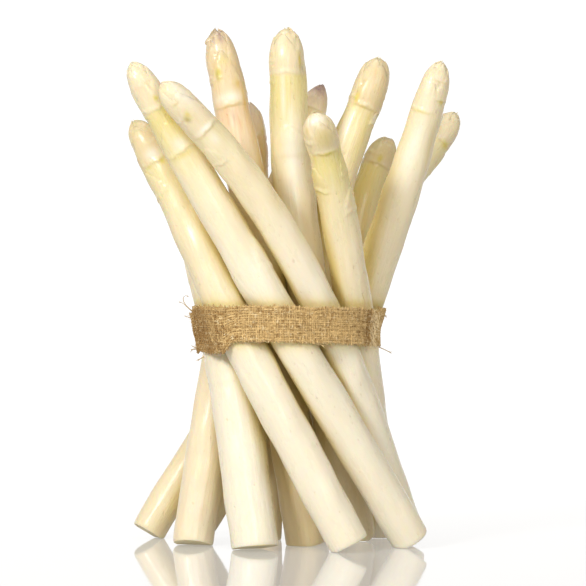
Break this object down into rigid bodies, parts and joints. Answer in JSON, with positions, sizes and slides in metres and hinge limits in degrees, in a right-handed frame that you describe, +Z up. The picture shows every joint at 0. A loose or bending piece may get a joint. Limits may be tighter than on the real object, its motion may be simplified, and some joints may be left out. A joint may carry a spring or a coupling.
{
  "type": "bundle of asparagus",
  "caption": "Bundle of white asparagus spears twisted like a sheaf, tied round the waist with a burlap strip and standing on its cut ends.",
  "frame": {"origin": "centre of the bundle's bounding box, on the table under the cut ends", "axes": "+Z up along the bundle, -Y towards the viewer of its front, +X to the viewer's right"},
  "size_m": [0.1348, 0.1124, 0.206],
  "materials": {
    "ivory_skin": "waxy satin",
    "blushed_skin": "waxy satin",
    "burlap": "coarse woven jute"
  },
  "bodies": {
    "root": {"spear_01": "ivory_skin", "spear_02": "ivory_skin", "spear_03": "ivory_skin", "spear_04": "ivory_skin", "spear_05": "ivory_skin", "spear_06": "blushed_skin", "spear_07": "ivory_skin", "spear_08": "blushed_skin", "spear_09": "ivory_skin", "spear_10": "ivory_skin", "spear_11": "ivory_skin", "spear_12": "ivory_skin", "spear_13": "blushed_skin", "burlap_band": "burlap"}
  },
  "joints": []
}
